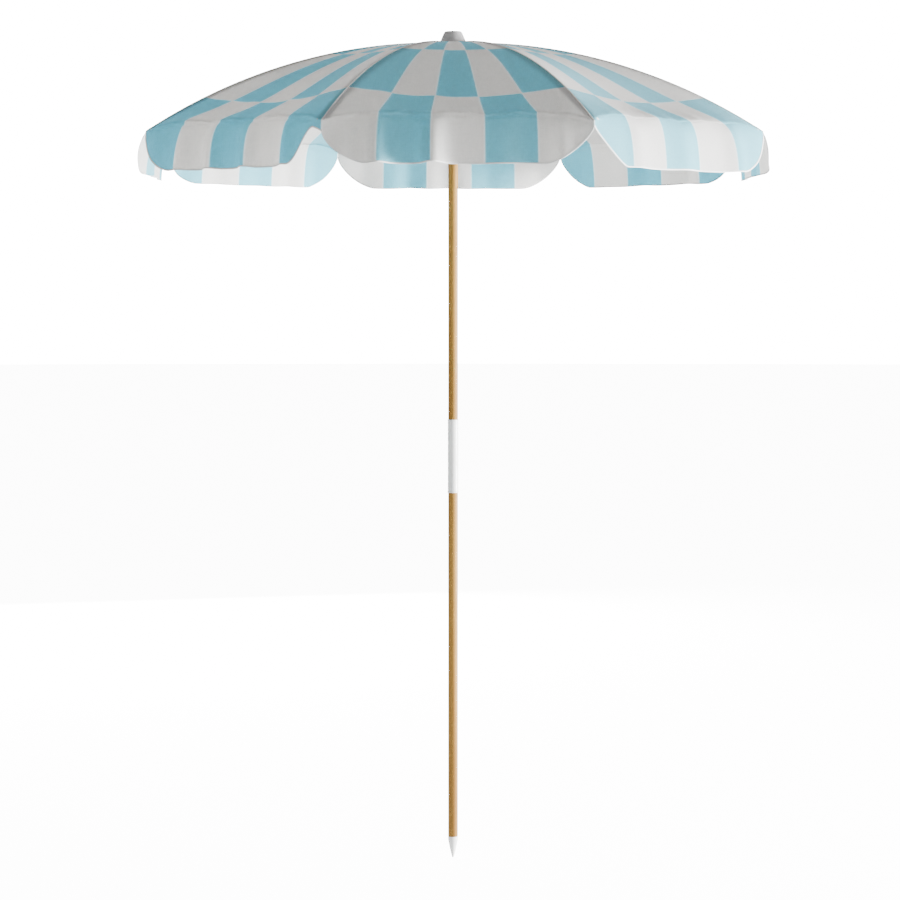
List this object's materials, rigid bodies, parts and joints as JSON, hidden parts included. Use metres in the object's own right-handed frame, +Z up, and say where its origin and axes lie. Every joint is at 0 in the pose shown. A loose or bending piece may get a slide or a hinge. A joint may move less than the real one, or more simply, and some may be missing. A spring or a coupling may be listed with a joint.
{
  "type": "beach umbrella",
  "caption": "Octagonal beach umbrella on a two-piece timber pole, with a checked cloth canopy, hanging valance, sliding runner and pointed ground tip.",
  "frame": {"origin": "blunt end of the ground tip, on the pole's axis", "axes": "+Z up along the pole; panel 1 faces -Y, and the ribs stand 22.5 degrees either side of it"},
  "size_m": [1.7204, 1.7204, 2.35],
  "materials": {
    "timber": "light timber dowel with a satin clear coat",
    "white_coat": "white powder coat",
    "steel": "zinc-plated steel",
    "plastic": "off-white moulded plastic",
    "white_cloth": "woven cloth, white and aqua checks sewn in five columns",
    "aqua_cloth": "woven cloth, aqua and white checks sewn in five columns"
  },
  "bodies": {
    "lower": {"lower_pole": "timber", "ground_tip": "white_coat", "joiner_sleeve": "white_coat", "sleeve_screw": "steel"},
    "upper": {"upper_pole": "timber", "crown_hub": "plastic", "crown_wire": "steel", "crown_patch": "white_cloth", "crown_cap": "plastic"},
    "catch": {"catch_spring": "steel"},
    "runner": {"runner": "plastic", "runner_wire": "steel"},
    "rib_1": {"rib_1": "steel", "rib_tip_1": "plastic", "rib_clip_1": "steel"},
    "rib_2": {"rib_2": "steel", "rib_tip_2": "plastic", "rib_clip_2": "steel"},
    "rib_3": {"rib_3": "steel", "rib_tip_3": "plastic", "rib_clip_3": "steel"},
    "rib_4": {"rib_4": "steel", "rib_tip_4": "plastic", "rib_clip_4": "steel"},
    "rib_5": {"rib_5": "steel", "rib_tip_5": "plastic", "rib_clip_5": "steel"},
    "rib_6": {"rib_6": "steel", "rib_tip_6": "plastic", "rib_clip_6": "steel"},
    "rib_7": {"rib_7": "steel", "rib_tip_7": "plastic", "rib_clip_7": "steel"},
    "rib_8": {"rib_8": "steel", "rib_tip_8": "plastic", "rib_clip_8": "steel"},
    "stretcher_1": {"stretcher_1": "steel"},
    "stretcher_2": {"stretcher_2": "steel"},
    "stretcher_3": {"stretcher_3": "steel"},
    "stretcher_4": {"stretcher_4": "steel"},
    "stretcher_5": {"stretcher_5": "steel"},
    "stretcher_6": {"stretcher_6": "steel"},
    "stretcher_7": {"stretcher_7": "steel"},
    "stretcher_8": {"stretcher_8": "steel"},
    "panel_1": {"panel_1": "white_cloth"},
    "panel_2": {"panel_2": "aqua_cloth"},
    "panel_3": {"panel_3": "white_cloth"},
    "panel_4": {"panel_4": "aqua_cloth"},
    "panel_5": {"panel_5": "white_cloth"},
    "panel_6": {"panel_6": "aqua_cloth"},
    "panel_7": {"panel_7": "white_cloth"},
    "panel_8": {"panel_8": "aqua_cloth"},
    "valance_1": {"valance_1": "white_cloth"},
    "valance_2": {"valance_2": "aqua_cloth"},
    "valance_3": {"valance_3": "white_cloth"},
    "valance_4": {"valance_4": "aqua_cloth"},
    "valance_5": {"valance_5": "white_cloth"},
    "valance_6": {"valance_6": "aqua_cloth"},
    "valance_7": {"valance_7": "white_cloth"},
    "valance_8": {"valance_8": "aqua_cloth"}
  },
  "joints": [
    {"name": "pole_lift", "type": "slide", "parent": "lower", "child": "upper", "axis": [0, 0, 1], "range_m": [0, 0.09]},
    {"name": "catch_press", "type": "hinge", "parent": "upper", "child": "catch", "pos_m": [0, 0.008, 1.922], "axis": [1, 0, 0], "range_deg": [0, 4.5], "stiffness_Nm_per_rad": 1},
    {"name": "runner_slide", "type": "slide", "parent": "upper", "child": "runner", "axis": [0, 0, -1], "range_m": [0, 0.5948], "deforming": ["catch_spring"]},
    {"name": "rib_1_fold", "type": "hinge", "parent": "upper", "child": "rib_1", "pos_m": [0.01072, -0.02587, 2.30496], "axis": [0.9239, 0.3827, 0], "range_deg": [0, 71.1]},
    {"name": "rib_2_fold", "type": "hinge", "parent": "upper", "child": "rib_2", "pos_m": [0.02587, -0.01072, 2.30496], "axis": [0.3827, 0.9239, 0], "range_deg": [0, 71.1]},
    {"name": "rib_3_fold", "type": "hinge", "parent": "upper", "child": "rib_3", "pos_m": [0.02587, 0.01072, 2.30496], "axis": [-0.3827, 0.9239, 0], "range_deg": [0, 71.1]},
    {"name": "rib_4_fold", "type": "hinge", "parent": "upper", "child": "rib_4", "pos_m": [0.01072, 0.02587, 2.30496], "axis": [-0.9239, 0.3827, 0], "range_deg": [0, 71.1]},
    {"name": "rib_5_fold", "type": "hinge", "parent": "upper", "child": "rib_5", "pos_m": [-0.01072, 0.02587, 2.30496], "axis": [-0.9239, -0.3827, 0], "range_deg": [0, 71.1]},
    {"name": "rib_6_fold", "type": "hinge", "parent": "upper", "child": "rib_6", "pos_m": [-0.02587, 0.01072, 2.30496], "axis": [-0.3827, -0.9239, 0], "range_deg": [0, 71.1]},
    {"name": "rib_7_fold", "type": "hinge", "parent": "upper", "child": "rib_7", "pos_m": [-0.02587, -0.01072, 2.30496], "axis": [0.3827, -0.9239, 0], "range_deg": [0, 71.1]},
    {"name": "rib_8_fold", "type": "hinge", "parent": "upper", "child": "rib_8", "pos_m": [-0.01072, -0.02587, 2.30496], "axis": [0.9239, -0.3827, 0], "range_deg": [0, 71.1]},
    {"name": "stretcher_1_fold", "type": "hinge", "parent": "rib_1", "child": "stretcher_1", "pos_m": [0.17117, -0.41323, 2.23847], "axis": [-0.9239, -0.3827, 0], "range_deg": [0, 124]},
    {"name": "stretcher_2_fold", "type": "hinge", "parent": "rib_2", "child": "stretcher_2", "pos_m": [0.41323, -0.17117, 2.23847], "axis": [-0.3827, -0.9239, 0], "range_deg": [0, 124]},
    {"name": "stretcher_3_fold", "type": "hinge", "parent": "rib_3", "child": "stretcher_3", "pos_m": [0.41323, 0.17117, 2.23847], "axis": [0.3827, -0.9239, 0], "range_deg": [0, 124]},
    {"name": "stretcher_4_fold", "type": "hinge", "parent": "rib_4", "child": "stretcher_4", "pos_m": [0.17117, 0.41323, 2.23847], "axis": [0.9239, -0.3827, 0], "range_deg": [0, 124]},
    {"name": "stretcher_5_fold", "type": "hinge", "parent": "rib_5", "child": "stretcher_5", "pos_m": [-0.17117, 0.41323, 2.23847], "axis": [0.9239, 0.3827, 0], "range_deg": [0, 124]},
    {"name": "stretcher_6_fold", "type": "hinge", "parent": "rib_6", "child": "stretcher_6", "pos_m": [-0.41323, 0.17117, 2.23847], "axis": [0.3827, 0.9239, 0], "range_deg": [0, 124]},
    {"name": "stretcher_7_fold", "type": "hinge", "parent": "rib_7", "child": "stretcher_7", "pos_m": [-0.41323, -0.17117, 2.23847], "axis": [-0.3827, 0.9239, 0], "range_deg": [0, 124]},
    {"name": "stretcher_8_fold", "type": "hinge", "parent": "rib_8", "child": "stretcher_8", "pos_m": [-0.17117, -0.41323, 2.23847], "axis": [-0.9239, 0.3827, 0], "range_deg": [0, 124]},
    {"name": "panel_1_fold", "type": "hinge", "parent": "upper", "child": "panel_1", "pos_m": [0, -0.02587, 2.30496], "axis": [1, 0, 0], "range_deg": [0, 69.6], "deforming": ["panel_1"]},
    {"name": "panel_2_fold", "type": "hinge", "parent": "upper", "child": "panel_2", "pos_m": [0.01829, -0.01829, 2.30496], "axis": [0.7071, 0.7071, 0], "range_deg": [0, 69.6], "deforming": ["panel_2"]},
    {"name": "panel_3_fold", "type": "hinge", "parent": "upper", "child": "panel_3", "pos_m": [0.02587, 0, 2.30496], "axis": [0, 1, 0], "range_deg": [0, 69.6], "deforming": ["panel_3"]},
    {"name": "panel_4_fold", "type": "hinge", "parent": "upper", "child": "panel_4", "pos_m": [0.01829, 0.01829, 2.30496], "axis": [-0.7071, 0.7071, 0], "range_deg": [0, 69.6], "deforming": ["panel_4"]},
    {"name": "panel_5_fold", "type": "hinge", "parent": "upper", "child": "panel_5", "pos_m": [0, 0.02587, 2.30496], "axis": [-1, 0, 0], "range_deg": [0, 69.6], "deforming": ["panel_5"]},
    {"name": "panel_6_fold", "type": "hinge", "parent": "upper", "child": "panel_6", "pos_m": [-0.01829, 0.01829, 2.30496], "axis": [-0.7071, -0.7071, 0], "range_deg": [0, 69.6], "deforming": ["panel_6"]},
    {"name": "panel_7_fold", "type": "hinge", "parent": "upper", "child": "panel_7", "pos_m": [-0.02587, 0, 2.30496], "axis": [0, -1, 0], "range_deg": [0, 69.6], "deforming": ["panel_7"]},
    {"name": "panel_8_fold", "type": "hinge", "parent": "upper", "child": "panel_8", "pos_m": [-0.01829, -0.01829, 2.30496], "axis": [0.7071, -0.7071, 0], "range_deg": [0, 69.6], "deforming": ["panel_8"]},
    {"name": "valance_1_hang", "type": "hinge", "parent": "panel_1", "child": "valance_1", "pos_m": [0, -0.81301, 2.07305], "axis": [-1, 0, 0], "range_deg": [0, 69.6], "deforming": ["valance_1"]},
    {"name": "valance_2_hang", "type": "hinge", "parent": "panel_2", "child": "valance_2", "pos_m": [0.57489, -0.57489, 2.07305], "axis": [-0.7071, -0.7071, 0], "range_deg": [0, 69.6], "deforming": ["valance_2"]},
    {"name": "valance_3_hang", "type": "hinge", "parent": "panel_3", "child": "valance_3", "pos_m": [0.81301, 0, 2.07305], "axis": [0, -1, 0], "range_deg": [0, 69.6], "deforming": ["valance_3"]},
    {"name": "valance_4_hang", "type": "hinge", "parent": "panel_4", "child": "valance_4", "pos_m": [0.57489, 0.57489, 2.07305], "axis": [0.7071, -0.7071, 0], "range_deg": [0, 69.6], "deforming": ["valance_4"]},
    {"name": "valance_5_hang", "type": "hinge", "parent": "panel_5", "child": "valance_5", "pos_m": [0, 0.81301, 2.07305], "axis": [1, 0, 0], "range_deg": [0, 69.6], "deforming": ["valance_5"]},
    {"name": "valance_6_hang", "type": "hinge", "parent": "panel_6", "child": "valance_6", "pos_m": [-0.57489, 0.57489, 2.07305], "axis": [0.7071, 0.7071, 0], "range_deg": [0, 69.6], "deforming": ["valance_6"]},
    {"name": "valance_7_hang", "type": "hinge", "parent": "panel_7", "child": "valance_7", "pos_m": [-0.81301, 0, 2.07305], "axis": [0, 1, 0], "range_deg": [0, 69.6], "deforming": ["valance_7"]},
    {"name": "valance_8_hang", "type": "hinge", "parent": "panel_8", "child": "valance_8", "pos_m": [-0.57489, -0.57489, 2.07305], "axis": [-0.7071, 0.7071, 0], "range_deg": [0, 69.6], "deforming": ["valance_8"]}
  ],
  "couplings": [
    {"joint": "rib_1_fold", "follows": "runner_slide", "rad_per_m": 2.0834},
    {"joint": "rib_2_fold", "follows": "runner_slide", "rad_per_m": 2.0834},
    {"joint": "rib_3_fold", "follows": "runner_slide", "rad_per_m": 2.0834},
    {"joint": "rib_4_fold", "follows": "runner_slide", "rad_per_m": 2.0834},
    {"joint": "rib_5_fold", "follows": "runner_slide", "rad_per_m": 2.0834},
    {"joint": "rib_6_fold", "follows": "runner_slide", "rad_per_m": 2.0834},
    {"joint": "rib_7_fold", "follows": "runner_slide", "rad_per_m": 2.0834},
    {"joint": "rib_8_fold", "follows": "runner_slide", "rad_per_m": 2.0834},
    {"joint": "stretcher_1_fold", "follows": "runner_slide", "rad_per_m": 3.6356},
    {"joint": "stretcher_2_fold", "follows": "runner_slide", "rad_per_m": 3.6356},
    {"joint": "stretcher_3_fold", "follows": "runner_slide", "rad_per_m": 3.6356},
    {"joint": "stretcher_4_fold", "follows": "runner_slide", "rad_per_m": 3.6356},
    {"joint": "stretcher_5_fold", "follows": "runner_slide", "rad_per_m": 3.6356},
    {"joint": "stretcher_6_fold", "follows": "runner_slide", "rad_per_m": 3.6356},
    {"joint": "stretcher_7_fold", "follows": "runner_slide", "rad_per_m": 3.6356},
    {"joint": "stretcher_8_fold", "follows": "runner_slide", "rad_per_m": 3.6356},
    {"joint": "panel_1_fold", "follows": "runner_slide", "rad_per_m": 2.0393},
    {"joint": "panel_2_fold", "follows": "runner_slide", "rad_per_m": 2.0393},
    {"joint": "panel_3_fold", "follows": "runner_slide", "rad_per_m": 2.0393},
    {"joint": "panel_4_fold", "follows": "runner_slide", "rad_per_m": 2.0393},
    {"joint": "panel_5_fold", "follows": "runner_slide", "rad_per_m": 2.0393},
    {"joint": "panel_6_fold", "follows": "runner_slide", "rad_per_m": 2.0393},
    {"joint": "panel_7_fold", "follows": "runner_slide", "rad_per_m": 2.0393},
    {"joint": "panel_8_fold", "follows": "runner_slide", "rad_per_m": 2.0393},
    {"joint": "valance_1_hang", "follows": "runner_slide", "rad_per_m": 2.0393},
    {"joint": "valance_2_hang", "follows": "runner_slide", "rad_per_m": 2.0393},
    {"joint": "valance_3_hang", "follows": "runner_slide", "rad_per_m": 2.0393},
    {"joint": "valance_4_hang", "follows": "runner_slide", "rad_per_m": 2.0393},
    {"joint": "valance_5_hang", "follows": "runner_slide", "rad_per_m": 2.0393},
    {"joint": "valance_6_hang", "follows": "runner_slide", "rad_per_m": 2.0393},
    {"joint": "valance_7_hang", "follows": "runner_slide", "rad_per_m": 2.0393},
    {"joint": "valance_8_hang", "follows": "runner_slide", "rad_per_m": 2.0393}
  ]
}
